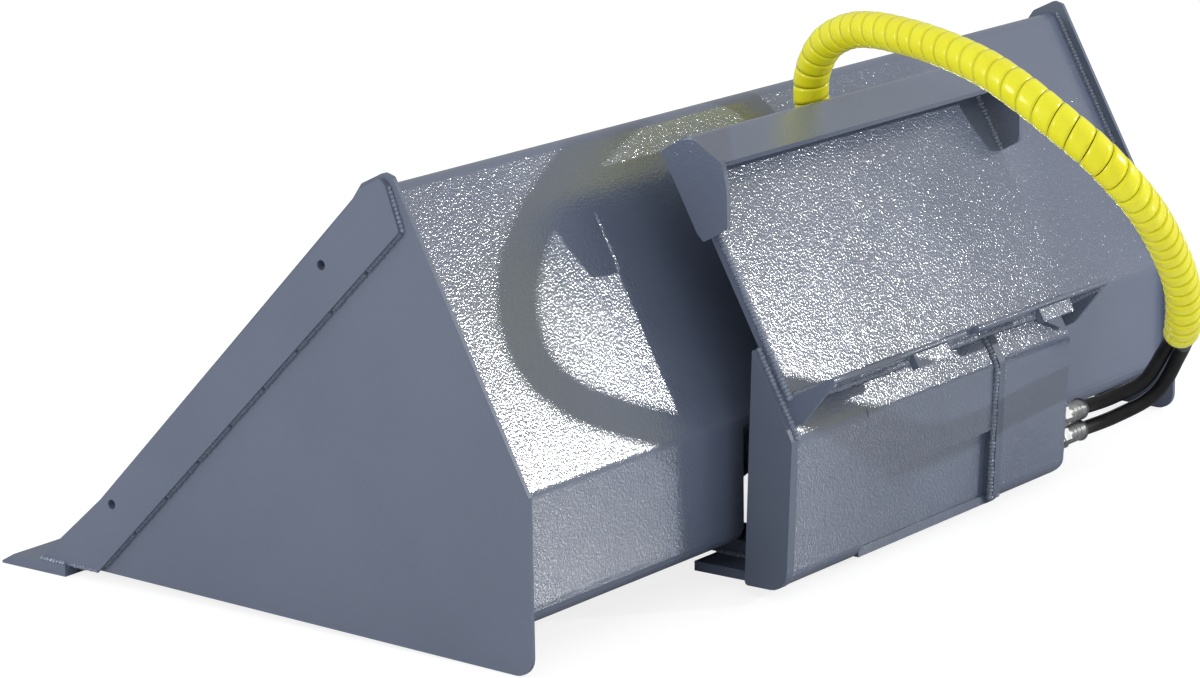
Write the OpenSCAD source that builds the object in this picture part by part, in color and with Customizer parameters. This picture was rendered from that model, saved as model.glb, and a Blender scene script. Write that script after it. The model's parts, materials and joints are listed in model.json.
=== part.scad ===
/* [Bucket] */
// Width of the bucket over the outer faces of its side plates
bucket_w = 1200; // [1000:50:1500]
// Thickness of the side plates
side_t = 5; // [4:1:8]
// Height of the side plates' rear edge, from the ground to the bend
bend_z = 175; // [165:5:190]
// Depth of the slanted rear edge, from the bend to the rim
rim_y = 154; // [140:2:170]
// Height of the rim corner
rim_z = 460; // [440:5:480]
// Thickness of the back and floor sheet
shell_t = 4; // [3:0.5:6]
// How far the back sheet lies inside the side plates' rear edge
back_inset = 12; // [8:1:16]
// Height of the floor's underside
floor_z = 40; // [38:1:44]
// Radius of the bend between floor and back
floor_bend_r = 24; // [16:2:32]
// Radius of the folded rim
rim_bend_r = 11; // [8:1:14]

/* [Cutting edge and side cutters] */
// Distance from the side plates' rear edge to the tip of the cutting edge
tip_y = 685; // [660:5:720]
// Width of the cutting edge bar, front to rear
edge_bar = 90; // [80:5:110]
// Thickness of the cutting edge bar
edge_t = 12; // [8:1:16]
// Length of the bevel at the tip
edge_bevel = 17; // [10:1:24]
// Height of the tip's blunt face
edge_tip_h = 2.5; // [1:0.5:4]
// How far the cutting edge stands out past each side plate
edge_over = 10; // [8:1:16]
// Thickness of the side cutter bars
cutter_t = 6; // [4:1:10]
// Radius of the holes in the side cutters
cutter_hole_r = 5; // [4:0.5:6]

/* [Hitch frame] */
// Distance of the frame's left end from the middle
frame_left = 270; // [255:5:300]
// Distance of the attach plate's right end from the middle
frame_right = 262; // [255:5:300]
// Angle of the attach plate from the vertical
plate_lean = 28.6; // [26:0.2:31]
// Thickness of the attach plate
plate_t = 10; // [8:1:12]
// Height of the attach plate's lower corner
plate_z = 205; // [200:1:210]
// Distance of that corner behind the side plates' rear edge
plate_back = 55; // [50:1:60]
// Length of the attach plate along its slope
plate_len = 266; // [260:2:280]
// Thickness of the frame's side plate and rib
rib_t = 12; // [10:1:15]
// Thickness of the top lip
lip_t = 6; // [5:1:8]
// Thickness of the lip's end gussets
gusset_t = 6; // [5:1:8]
// Length of the ledge, square to the attach plate
ledge_len = 58; // [50:1:64]
// Thickness of the ledge
ledge_t = 6; // [5:1:8]
// Thickness of the rear covers
cover_t = 5; // [4:1:6]
// Thickness of the bottom plate
bottom_t = 10; // [8:1:12]
// Height of the bottom plate above the ground
bottom_z = 10; // [8:1:12]

/* [Tipping pivot] */
// Distance of the pivot from the side plates' rear edge
pivot_y = 505; // [495:1:510]
// Height of the pivot
pivot_z = 24; // [23:0.5:25]
// Radius of the pivot pins
pivot_pin_r = 10; // [9:0.5:11]
// Wall of the pivot bushes
bush_wall = 2.5; // [2:0.5:3]
// Radius of the bosses at the ends of the arms
boss_r = 15; // [14:0.5:15.5]
// Length of the bosses
boss_len = 60; // [50:2:66]
// Distance of the arms from the middle
arm_x = 190; // [180:5:210]
// Thickness of the arms
arm_t = 16; // [12:1:17]

/* [Tipping cylinder] */
// Radius of the cylinder's bore
bore_r = 20; // [18:0.5:21]
// Wall of the barrel
barrel_wall = 5; // [4:0.5:6]
// Radius of the piston rod
rod_r = 12.5; // [10:0.5:14]
// Radius of the pins at both ends of the cylinder
eye_pin_r = 12.5; // [11:0.5:13]
// Width of the cylinder's eyes
eye_w = 44; // [40:1:48]
// Outer radius of the cylinder's eyes
eye_r = 22; // [20.5:0.5:23]

/* [Hoses] */
// Outer diameter of the two hoses
hose_d = 16; // [14:0.5:16]
// Outer diameter of the spiral guard
guard_d = 38; // [37:0.5:42]
// Wall of the spiral guard
guard_wall = 2; // [1.5:0.25:2.25]
// Width of one turn of the spiral guard
guard_pitch = 20; // [16:1:26]

/* [Hidden] */

// Colours of the finishes
paint = [0.27, 0.30, 0.36];
zinc = [0.72, 0.73, 0.72];
steel = [0.62, 0.63, 0.65];
chrome = [0.83, 0.84, 0.86];
bronze = [0.62, 0.47, 0.26];
rubber = [0.07, 0.07, 0.08];
yellow = [0.95, 0.88, 0.03];

// Facets of round parts, and of the arcs in a bent sheet
$fn = 48;
arc_n = 6;
// Overrun of cuts, clearance between moving bodies, and running fit of pins
cut = 1;
gap = 0.4;
fit = 0.05;

half_w = bucket_w / 2;
shell_half = half_w - side_t;

// Side plate outline: its upper corners are placed from the rim corner, and its foot from the edge's tip
heel_r = 19;
apex_in = 11;
apex_up = 3;
brow_in = 38;
brow_down = 10;
nose_in = 49.5;
nose_down = 26;
shin_back = 134;
shin_z = 86;
foot_back = 52;
foot_h = 4;
brow_r = 6;
rim_r = 5;
apex_y = rim_y + apex_in;
apex_z = rim_z + apex_up;
brow_y = rim_y + brow_in;
brow_z = rim_z - brow_down;
nose_y = rim_y + nose_in;
nose_z = rim_z - nose_down;
shin_y = tip_y - shin_back;
foot_y = tip_y - foot_back;

// The side cutter's outline lies inside the side plate's by this margin; its seam runs from rim to foot
cutter_margin = 4;
seam_rise = 1;
seam_top_back = 11;
seam_top_down = 50;
cutter_nose_r = 5;
cutter_rim_r = 3;
cutter_end_r = 4;
hole_high_in = 36.5;
hole_high_down = 67;
hole_low_back = 22;
seam_top = [rim_y - seam_top_back, rim_z - seam_top_down];
seam_foot = [shin_y, edge_t + seam_rise];
cutter_holes_at = [[nose_y + hole_high_in, nose_z - hole_high_down], [shin_y - hole_low_back, shin_z]];

// Back sheet
back_lean = atan2(rim_y, rim_z - bend_z);
back_bend_z = bend_z - back_inset * tan(back_lean / 2);
fold_down = 8;
fold_len = 30;
fold_drop = 12;
fold_z = rim_z - fold_down;
fold_y = back_inset + (fold_z - back_bend_z) * tan(back_lean);
fold_end_y = fold_y + fold_len;
fold_end_z = fold_z - fold_drop;
edge_rear_y = tip_y - edge_bar;
ramp_len = 71;
ramp_y = edge_rear_y - ramp_len;
ramp_bend_r = 20;
floor_lap = 14;

// Recess for the frame in the lower back
recess_half = 242;
recess_front_y = 152;
recess_top = 8;

// Tunnel over the cylinder
tunnel_half = 70;
tunnel_t = 5;
tunnel_z = 165;
tunnel_front_y = 415;
tunnel_toe_y = 462;
slot_half = tunnel_half - tunnel_t;

// Cylinder pins
base_y = -20;
base_z = 75;
rod_pin_y = 345;
rod_pin_z = 110;
cyl_len = norm([rod_pin_y - base_y, rod_pin_z - base_z]);
cyl_angle = atan2(rod_pin_z - base_z, rod_pin_y - base_y);
lug_t = 12;
lug_x = eye_w / 2 + gap;
lug_edge = 2;
pin_end_out = 2;
pin_cap_t = 3;
pin_cap_over = 4;

// Attach plate, measured along and square to its slope from its lower corner
plate_left = -frame_left + rib_t;
plate_right = frame_right;
plate_y = -plate_back;
slope = 90 - plate_lean;
function on_plate(s, n) =
    [plate_y + s * cos(slope) - n * sin(slope), plate_z + s * sin(slope) + n * cos(slope)];

// Pocket plates that hang from the ledge's edge; their lower edge is the object's rearmost
pocket_spans = [[-120, -58], [118, 178]];
pocket_t = 8;
pocket_h = 14;
rear_y = on_plate(-ledge_t - pocket_h, ledge_len).x;
mid_y = (tip_y + rear_y) / 2;

// Housing profile: the covers lie behind the attach plate's front face by a step
rib_proud = 5;
cover_n = plate_t + rib_proud;
cover_bend_s = -40;
cover_top_s = -9;
cover_foot_y = -53;
cover_foot_z = bottom_z - 1;
cover_foot_in = 22;
cover_r_wing = 34;
cover_r_mid = 14;
cover_low_r = 18;
corner_r = 16;
slant_z = 170;
slant_w = 44;
slant_in = 4;
wing_split_x = -128;
rib_right_x = 112;
front_y = -12;
seam_z = 92;
lower_recess = 7;
seam_lap = 14;
bottom_chamfer = 30;
bottom_rear_y = cover_foot_y + cover_foot_in;
function wing_at(z) = let (k = (z - cover_foot_z) / (wing_path[2].y - cover_foot_z))
    wing_path[1] + k * (wing_path[2] - wing_path[1]);

// Pivot
pivot_fit_len = boss_len / 2 + gap;
pivot_lug_r = 16;
pivot_lug_t = 12;
bush_r = pivot_pin_r + bush_wall;
arm_w = 56;
arm_rear_y = -14;
bottom_front_y = 62;
arm_bottom_z = bottom_z + bottom_t;

// Base lugs
base_lug_r = 23;
base_lug_foot = 20;

// Hose fittings on a bracket at the housing's open end
fit_y = -35;
fit_low_z = 41;
fit_high_z = 65;
fit_mid_z = (fit_low_z + fit_high_z) / 2;
bracket_x = plate_right;
bracket_t = 6;
thread_r = 9;
nut_r = 12.5;
nut_h = 11;
neck_h = 2;
swivel_h = 13;
ferrule_r = 10.5;
ferrule_len = 34;
crimp_x = bracket_x + bracket_t + nut_h + swivel_h;
hose_off = 8.2;
pipe_r = 5;
link_r = 8;
inner_hose_r = 6;
port_low_s = 45;
port_high_s = 75;
port_x = 45;

// Plane curve helpers
function unit(v) = v / norm(v);
function left_of(v) = [-v.y, v.x];
function turn(a, b, c) = cross(b - a, c - b);
function fillet(a, b, c, r) =
    let (u = unit(a - b), w = unit(c - b), half = acos(u * w) / 2,
        middle = b + unit(u + w) * r / sin(half), start = b + u * r / tan(half),
        from = atan2(start.y - middle.y, start.x - middle.x), sweep = sign(turn(a, b, c)) * (180 - 2 * half))
    [for (i = [0:arc_n]) middle + r * [cos(from + sweep * i / arc_n), sin(from + sweep * i / arc_n)]];
function open_path(p, r) =
    [for (i = [0:len(p) - 1]) each r[i] <= 0 ? [p[i]] : fillet(p[i - 1], p[i], p[i + 1], r[i])];
function closed_path(p, r) = let (n = len(p))
    [for (i = [0:n - 1]) each r[i] <= 0 ? [p[i]] : fillet(p[(i + n - 1) % n], p[i], p[(i + 1) % n], r[i])];
function shift_path(p, d) = let (n = len(p))
    [for (i = [0:n - 1])
        let (u = left_of(unit(p[max(i, 1)] - p[max(i, 1) - 1])),
            v = left_of(unit(p[min(i + 1, n - 1)] - p[min(i + 1, n - 1) - 1])), m = unit(u + v))
        p[i] + m * d / (m * u)];
function reversed(p) = [for (i = [len(p) - 1:-1:0]) p[i]];
function inner_radii(p, r, t) =
    [for (i = [0:len(p) - 1]) r[i] <= 0 ? 0 : r[i] - sign(turn(p[i - 1], p[i], p[i + 1])) * t];

// A bent sheet: its path is the outer face, and t is its thickness to the left of the path
module sheet(p, r, t) {
    polygon(concat(open_path(p, r), reversed(open_path(shift_path(p, t), inner_radii(p, r, t)))));
}

// Stands a drawing in Y and Z up across the part, from x0 to x1
module across(x0, x1) {
    translate([x0, 0, 0]) rotate([90, 0, 90]) linear_extrude(x1 - x0) children();
}

// A round bar or hole along X
module bar_x(x0, x1, y, z, r) {
    translate([x0, y, z]) rotate([0, 90, 0]) cylinder(r = r, h = x1 - x0);
}

// Moves the drawing's datum, the side plates' rear edge, to the middle of the part's box
module place() {
    translate([0, -mid_y, 0]) children();
}

module mirrored(side) {
    if (side < 0) mirror([1, 0, 0]) children();
    else children();
}

// Outline of the side plate, from the heel round over the rim to the foot
side_points = [[0, 0], [edge_rear_y, edge_t], [foot_y, edge_t], [foot_y, edge_t + foot_h], [shin_y, shin_z],
    [nose_y, nose_z], [brow_y, brow_z], [apex_y, apex_z], [rim_y, rim_z], [0, bend_z]];
side_radii = [heel_r, 0, 0, 0, 0, brow_r, brow_r, brow_r, rim_r, 0];

module cutter_holes() {
    for (spot = cutter_holes_at)
        bar_x(half_w - side_t - cut, half_w + cutter_t + cut, spot.x, spot.y, cutter_hole_r);
}

module side_plate(side) {
    color(paint) place() mirrored(side) difference() {
        across(half_w - side_t, half_w) polygon(closed_path(side_points, side_radii));
        cutter_holes();
    }
}

// The cutter follows the front edge, inside it by its margin
module side_cutter(side) {
    m = cutter_margin;
    color(paint) place() mirrored(side) difference() {
        across(half_w, half_w + cutter_t) polygon(closed_path(
            [seam_foot, [foot_y - m, seam_foot.y], [foot_y - m, seam_foot.y + foot_h],
                [shin_y - m / 2, shin_z - m / 2], [nose_y - m, nose_z - m / 2],
                [brow_y - m / 2, brow_z - m], [apex_y, apex_z - m],
                [rim_y + m, rim_z - 2 * m], seam_top],
            [0, 0, 0, 0, cutter_nose_r, cutter_nose_r, cutter_nose_r, cutter_rim_r, cutter_end_r]));
        cutter_holes();
    }
}

module side_plate_left() { side_plate(-1); }
module side_plate_right() { side_plate(1); }
module side_cutter_left() { side_cutter(-1); }
module side_cutter_right() { side_cutter(1); }

// Floor, back and folded rim are one bent sheet, cut out for the frame and for the cylinder's swing
shell_path = [[edge_rear_y + floor_lap, edge_t], [edge_rear_y - floor_lap / 2, edge_t], [ramp_y, floor_z],
    [back_inset, floor_z], [back_inset, back_bend_z], [fold_y, fold_z], [fold_end_y, fold_end_z]];
module bucket_shell() {
    color(paint) place() difference() {
        across(-shell_half, shell_half) sheet(shell_path,
            [0, ramp_bend_r, ramp_bend_r, floor_bend_r, ramp_bend_r, rim_bend_r, 0], -shell_t);
        translate([-recess_half, back_inset - cut, floor_z - cut])
            cube([2 * recess_half, recess_front_y - back_inset + cut,
                back_bend_z - recess_top - floor_z + cut]);
        translate([-slot_half, back_inset, floor_z - cut])
            cube([2 * slot_half, tunnel_toe_y - tunnel_t - back_inset, shell_t + 2 * cut]);
    }
}

module cutting_edge() {
    color(paint) place() across(-half_w - edge_over, half_w + edge_over)
        polygon([[edge_rear_y, 0], [tip_y, 0], [tip_y, edge_tip_h], [tip_y - edge_bevel, edge_t],
            [edge_rear_y, edge_t]]);
}

// Slanted plate and end cheeks that close the recess towards the inside of the bucket
recess_low = [recess_front_y, floor_z + shell_t];
recess_high = [back_inset + shell_t, back_bend_z - recess_top];
module recess_plate() {
    color(paint) place() difference() {
        across(-recess_half, recess_half) sheet([recess_low, recess_high], [0, 0], shell_t);
        translate([-slot_half, 0, 0])
            cube([2 * slot_half, recess_front_y + 2 * shell_t, tunnel_z - tunnel_t]);
    }
}

module recess_cheek(side) {
    color(paint) place() mirrored(side) across(recess_half, recess_half + shell_t)
        polygon([[back_inset + shell_t, floor_z + shell_t + floor_bend_r],
            [back_inset + floor_bend_r, floor_z + shell_t], recess_low, recess_high]);
}
module recess_cheek_left() { recess_cheek(-1); }
module recess_cheek_right() { recess_cheek(1); }

// Folded cover over the cylinder, standing on the floor sheet
module cylinder_tunnel() {
    low = floor_z + shell_t;
    rear = back_inset + 2 * shell_t;
    color(paint) place() difference() {
        across(-tunnel_half, tunnel_half) polygon([recess_low + [shell_t, 0], [rear, recess_high.y],
            [rear, tunnel_z], [tunnel_front_y, tunnel_z], [tunnel_toe_y, low]]);
        across(-slot_half, slot_half) polygon([[-cut, low - cut], [-cut, tunnel_z - tunnel_t],
            [tunnel_front_y - tunnel_t / 2, tunnel_z - tunnel_t],
            [tunnel_toe_y - tunnel_t - cut, low - cut]]);
    }
}

// Cheeks under the tunnel's roof that take the rod's pin
module rod_lugs() {
    roof = tunnel_z - tunnel_t;
    color(paint) place() difference() {
        for (s = [-1, 1]) mirrored(s) across(lug_x, lug_x + lug_t) union() {
            translate([rod_pin_y, rod_pin_z]) circle(r = eye_r + lug_edge);
            polygon([[rod_pin_y - eye_r - lug_edge, rod_pin_z], [rod_pin_y + eye_r + lug_edge, rod_pin_z],
                [rod_pin_y + 2 * eye_r, roof], [rod_pin_y - 2 * eye_r, roof]]);
        }
        bar_x(-tunnel_half, tunnel_half, rod_pin_y, rod_pin_z, eye_pin_r + fit);
    }
}

// Ends of the rod's pin, held in the cheeks
module lug_pin_ends() {
    color(zinc) place() for (s = [-1, 1]) mirrored(s) {
        bar_x(lug_x, lug_x + lug_t + pin_end_out, rod_pin_y, rod_pin_z, eye_pin_r);
        bar_x(lug_x + lug_t, lug_x + lug_t + pin_end_out + pin_cap_t,
            rod_pin_y, rod_pin_z, eye_pin_r + pin_cap_over);
    }
}

// Lugs under the floor, one on each side of each boss
module pivot_lugs() {
    color(paint) place() difference() {
        for (s = [-1, 1], k = [-1, 1]) {
            x0 = s * arm_x + k * (pivot_fit_len + pivot_lug_t / 2) - pivot_lug_t / 2;
            across(x0, x0 + pivot_lug_t) intersection() {
                union() {
                    translate([pivot_y, pivot_z]) circle(r = pivot_lug_r);
                    polygon([[pivot_y - pivot_lug_r, pivot_z], [pivot_y + pivot_lug_r, pivot_z],
                        [pivot_y + pivot_lug_r, floor_z], [pivot_y - 2 * pivot_lug_r, floor_z]]);
                }
                translate([pivot_y - 3 * pivot_lug_r, 0]) square([6 * pivot_lug_r, floor_z]);
            }
        }
        bar_x(-half_w, half_w, pivot_y, pivot_z, pivot_pin_r + fit);
    }
}

// Two pins, each with a head on its outer end and a bolt through its inner end
pivot_reach = pivot_fit_len + pivot_lug_t;
pin_head_h = 6;
pin_head_r = pivot_pin_r + pin_cap_over;
pin_tail = 14;
bolt_r = 3;
bolt_head_r = 5.5;
bolt_head_h = 4;
bolt_x = arm_x - pivot_reach - pin_tail / 2;
module pivot_pins() {
    color(zinc) place() for (s = [-1, 1]) mirrored(s) difference() {
        union() {
            bar_x(arm_x - pivot_reach - pin_tail, arm_x + pivot_reach, pivot_y, pivot_z, pivot_pin_r);
            bar_x(arm_x + pivot_reach, arm_x + pivot_reach + pin_head_h, pivot_y, pivot_z, pin_head_r);
        }
        translate([bolt_x, pivot_y - pin_head_r, pivot_z]) rotate([-90, 0, 0])
            cylinder(r = bolt_r, h = 2 * pin_head_r);
    }
}

module pivot_pin_bolts() {
    color(zinc) place() for (s = [-1, 1]) translate([s * bolt_x, pivot_y, pivot_z]) rotate([-90, 0, 0]) {
        cylinder(r = bolt_r, h = 2 * pivot_pin_r, center = true);
        for (k = [-1, 1]) translate([0, 0, k * (pivot_pin_r + bolt_head_h / 2)])
            cylinder(r = bolt_head_r, h = bolt_head_h, center = true, $fn = 6);
    }
}

// Drawing in the attach plate's own lengths: along its slope, and square to it towards the loader
module plate_draw() {
    translate([plate_y, plate_z]) rotate(slope) children();
}

module attach_plate() {
    color(paint) place() across(plate_left, plate_right) plate_draw()
        translate([0, -plate_t]) square([plate_len, plate_t]);
}

// The lip lies on the plate's top edge and folds down over the loader's hook
lip_rise = 2;
lip_knee_n = 23;
lip_drop = 33;
lip_edge_n = 52;
lip_bend_r = 12;
lip_path = [on_plate(plate_len + lip_t, -plate_t), on_plate(plate_len + lip_t + lip_rise, lip_knee_n),
    on_plate(plate_len - lip_drop, lip_edge_n)];
module top_lip() {
    color(paint) place() across(-frame_left, plate_right) sheet(lip_path, [0, lip_bend_r, 0], lip_t);
}

// End gusset of the lip, drawn from the plate's face out to the lip's edge
gusset_rise = 1;
gusset_brow_n = 17;
gusset_cheek_n = 32;
gusset_tip_down = 34;
gusset_chin_down = 59;
gusset_chin_n = 44;
gusset_len = 93;
gusset_low_n = 26;
gusset_toe = 3;
gusset_toe_up = 11;
gusset_r = 14;
gusset_tip_r = 6;
gusset_toe_r = 2;
gusset_low_r_left = 4;
gusset_low_r_right = 12;
gusset_points = [[plate_len + lip_t, -plate_t], [plate_len + lip_t + gusset_rise, gusset_brow_n],
    [plate_len, gusset_cheek_n], [plate_len - gusset_tip_down, lip_edge_n],
    [plate_len - gusset_chin_down, gusset_chin_n], [plate_len - gusset_len, gusset_low_n],
    [plate_len - gusset_len, gusset_toe - plate_t],
    [plate_len - gusset_len + gusset_toe_up, -plate_t]];
module lip_gusset(x0, low_r) {
    color(paint) place() across(x0, x0 + gusset_t) plate_draw()
        polygon(closed_path(gusset_points,
            [0, gusset_r, gusset_r, gusset_tip_r, gusset_r, low_r, gusset_toe_r, 0]));
}
module lip_gusset_left() { lip_gusset(-frame_left - gusset_t, gusset_low_r_left); }
module lip_gusset_right() { lip_gusset(plate_right, gusset_low_r_right); }

// The ledge stands square on the plate, with two lock-pin slots and a notch in the middle of its edge
ledge_slot_x = 88;
ledge_slot_w = 56;
ledge_slot_d = 24;
ledge_slot_in = 14;
notch_x = -8;
notch_w = 23;
notch_d = 11;
module lower_ledge() {
    color(paint) place() difference() {
        across(plate_left, plate_right) plate_draw() union() {
            translate([-ledge_t, -plate_t]) square([ledge_t, plate_t + ledge_len - ledge_t / 2]);
            translate([-ledge_t / 2, ledge_len - ledge_t / 2]) circle(r = ledge_t / 2);
        }
        for (s = [-1, 1]) across(s * ledge_slot_x - ledge_slot_w / 2, s * ledge_slot_x + ledge_slot_w / 2)
            plate_draw() translate([-ledge_t - cut, ledge_slot_in]) square([ledge_t + 2 * cut, ledge_slot_d]);
        across(notch_x - notch_w / 2, notch_x + notch_w / 2)
            plate_draw() translate([-ledge_t - cut, ledge_len - notch_d])
                square([ledge_t + 2 * cut, notch_d + cut]);
    }
}

// Plates that back the lock pins under the ledge
module pocket_plates() {
    color(paint) place() for (span = pocket_spans) across(span[0], span[1])
        plate_draw() translate([-ledge_t - pocket_h, ledge_len - pocket_t]) square([pocket_h, pocket_t]);
}

// Triangular gussets under the ledge's ends
ledge_gusset_len = 28;
ledge_gusset_tip = 3;
ledge_gusset_toe = 2;
ledge_gusset_in = 2;
module ledge_gusset(x0) {
    color(paint) place() across(x0, x0 + gusset_t) plate_draw()
        polygon([[-ledge_t, ledge_len - ledge_gusset_tip], [-ledge_gusset_len, ledge_gusset_toe],
            [-ledge_gusset_len, -plate_t], [-ledge_t, -plate_t]]);
}
module ledge_gusset_left() { ledge_gusset(plate_left); }
module ledge_gusset_right() { ledge_gusset(plate_right - gusset_t - ledge_gusset_in); }

// Side plate of the frame: upright behind the bucket, then leaning along the attach plate's front face
frame_bend_s = -41;
frame_side_s = 57;
frame_toe_y = front_y + 4;
frame_toe_r = 4;
frame_bend_r = 12;
frame_heel_r = 20;
frame_side_points = [[frame_toe_y, bottom_z], on_plate(frame_side_s, -plate_t),
    on_plate(frame_bend_s, -plate_t), [cover_foot_y - rib_proud, bottom_z]];
module frame_side_plate() {
    color(paint) place() across(-frame_left, plate_left)
        polygon(closed_path(frame_side_points, [frame_toe_r, 0, frame_bend_r, frame_heel_r]));
}

// Ribs between the bottom plate and the attach plate
rib_top = on_plate(-ledge_t, -plate_t);
rib_front_in = 7;
rib_front_down = 9;
rib_foot_drop = 2;
rib_heel_r = 18;
rib_front = [front_y - rib_front_in, plate_z - rib_front_down];
module frame_rib_right() {
    color(paint) place() across(rib_right_x, rib_right_x + rib_t)
        polygon(closed_path([[frame_toe_y, arm_bottom_z], rib_front, rib_top,
            on_plate(frame_bend_s, -plate_t), [cover_foot_y - rib_proud, bottom_z - rib_foot_drop],
            [bottom_rear_y, bottom_z - rib_foot_drop],
            [bottom_rear_y, arm_bottom_z]], [0, frame_bend_r, 0, frame_bend_r, rib_heel_r, frame_toe_r, 0]));
}
module frame_rib_left() {
    top = cover_top_s + gap;
    inside = lower_recess + cover_t + gap;
    color(paint) place() across(-rib_right_x - rib_t, -rib_right_x)
        polygon(closed_path([[frame_toe_y, arm_bottom_z], rib_front, rib_top, on_plate(top, -plate_t),
            on_plate(top, -cover_n - cover_t - gap), shift_path(wing_path, -cover_t - gap)[2],
            wing_at(seam_z + seam_lap) + [inside, 0], wing_at(arm_bottom_z) + [inside, 0]],
            [0, frame_bend_r, 0, 0, 0, cover_r_mid, 0, 0]));
}

// Rear covers: bent sheets from the sloping top, down the back and under the housing
wing_path = [[bottom_rear_y, cover_foot_z], [cover_foot_y, cover_foot_z], on_plate(cover_bend_s, -cover_n),
    on_plate(cover_top_s, -cover_n)];
module wing(x0, x1, side) {
    difference() {
        across(x0, x1) sheet(wing_path, [0, cover_low_r, cover_r_wing, 0], -cover_t);
        wing_corner(x1, side);
        wing_slant(side < 0 ? x0 : x1, side);
    }
}

// Rounded lower corner of a wing, seen from behind
module wing_corner(x, side) {
    translate([x - corner_r, cover_foot_y, cover_foot_z + corner_r]) rotate([90, 0, 0])
        linear_extrude(3 * cover_foot_in, center = true) difference() {
            translate([0, -corner_r - cut]) square([corner_r + cut, corner_r + cut]);
            circle(r = corner_r);
        }
}

// Slanted upper corner of a wing, seen from behind
module wing_slant(x, side) {
    translate([x, cover_foot_y, 0]) rotate([90, 0, 0]) linear_extrude(3 * cover_foot_in, center = true)
        polygon([[side * cut, slant_z], [side * cut, 2 * slant_z], [-side * slant_w, 2 * slant_z],
            [-side * slant_w, on_plate(cover_top_s, -cover_n).y + cut], [-side * slant_in, slant_z]]);
}

module rear_cover_left() {
    color(paint) place() wing(plate_left, wing_split_x, -1);
}

module rear_cover_right() {
    color(paint) place() wing(rib_right_x + rib_t, plate_right, 1);
}

// Middle cover: the upper half is flush with the wings
module rear_cover_upper() {
    color(paint) place() across(wing_split_x, rib_right_x)
        sheet([wing_at(seam_z), wing_path[2], wing_path[3]], [0, cover_r_mid, 0], -cover_t);
}

// Lower half of the middle cover, set in behind the upper half's edge and standing on the bottom plate
module rear_cover_lower() {
    color(paint) place() across(wing_split_x, rib_right_x)
        sheet([wing_at(arm_bottom_z) + [lower_recess, 0], wing_at(seam_z + seam_lap) + [lower_recess, 0]],
            [0, 0], -cover_t);
}

// Bottom plate of the housing, on the ground side, and the arms that run under the bucket's floor
module bottom_plate() {
    mid_rear_y = wing_at(arm_bottom_z).x + rib_proud;
    color(paint) place() translate([0, 0, bottom_z]) linear_extrude(bottom_t) polygon([
        [plate_left, bottom_rear_y], [wing_split_x, bottom_rear_y], [wing_split_x, mid_rear_y],
        [rib_right_x, mid_rear_y], [rib_right_x, bottom_rear_y], [bracket_x + bracket_t, bottom_rear_y],
        [bracket_x + bracket_t, bottom_front_y - bottom_chamfer],
        [plate_right - bottom_chamfer, bottom_front_y], [plate_left, bottom_front_y]]);
}

module arm(side) {
    color(paint) place() mirrored(side) difference() {
        translate([arm_x - arm_w / 2, arm_rear_y, arm_bottom_z]) cube([arm_w, pivot_y - arm_rear_y, arm_t]);
        bar_x(0, half_w, pivot_y, pivot_z, boss_r);
    }
}
module arm_left() { arm(-1); }
module arm_right() { arm(1); }

// Bar that ties the arms together near the pivots
tie_y = 420;
tie_w = 40;
module arm_tie() {
    color(paint) place() translate([-arm_x + arm_w / 2, tie_y, arm_bottom_z])
        cube([2 * arm_x - arm_w, tie_w, arm_t]);
}

module pivot_bosses() {
    color(paint) place() for (s = [-1, 1]) difference() {
        bar_x(s * arm_x - boss_len / 2, s * arm_x + boss_len / 2, pivot_y, pivot_z, boss_r);
        bar_x(s * arm_x - boss_len, s * arm_x + boss_len, pivot_y, pivot_z, bush_r);
    }
}

module pivot_bushes() {
    color(bronze) place() for (s = [-1, 1]) difference() {
        bar_x(s * arm_x - boss_len / 2, s * arm_x + boss_len / 2, pivot_y, pivot_z, bush_r);
        bar_x(s * arm_x - boss_len, s * arm_x + boss_len, pivot_y, pivot_z, pivot_pin_r + fit);
    }
}

// Lugs on the bottom plate that hold the cylinder's base pin
module base_lugs() {
    color(paint) place() difference() {
        for (s = [-1, 1]) mirrored(s) across(lug_x, lug_x + lug_t) union() {
            translate([base_y, base_z]) circle(r = base_lug_r);
            polygon([[base_y - base_lug_foot, arm_bottom_z], [base_y + base_lug_r, arm_bottom_z],
                [base_y + base_lug_r, base_z], [base_y - base_lug_r, base_z]]);
        }
        bar_x(-half_w, half_w, base_y, base_z, eye_pin_r + fit);
    }
}

base_head_h = 6;
base_tail = 8;
module base_pin() {
    reach = lug_x + lug_t;
    color(zinc) place() {
        bar_x(-reach - base_head_h, reach + base_tail, base_y, base_z, eye_pin_r);
        bar_x(-reach - base_head_h, -reach, base_y, base_z, eye_pin_r + pin_cap_over);
    }
}

// Keeper plate on the pin's end, with its screw
keeper_t = 4;
keeper_w = 28;
keeper_h = 30;
keeper_up = 4;
screw_r = 6;
screw_h = 5;
screw_down = 26;
module base_pin_keeper() {
    x = lug_x + lug_t;
    color(zinc) place() {
        difference() {
            across(x, x + keeper_t) translate([base_y - keeper_w / 2, base_z - keeper_up - keeper_h])
                square([keeper_w, keeper_h]);
            bar_x(x - cut, x + keeper_t + cut, base_y, base_z, eye_pin_r + fit);
        }
        translate([x + keeper_t, base_y, base_z - screw_down]) rotate([0, 90, 0])
            cylinder(r = screw_r, h = screw_h, $fn = 6);
    }
}

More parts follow.
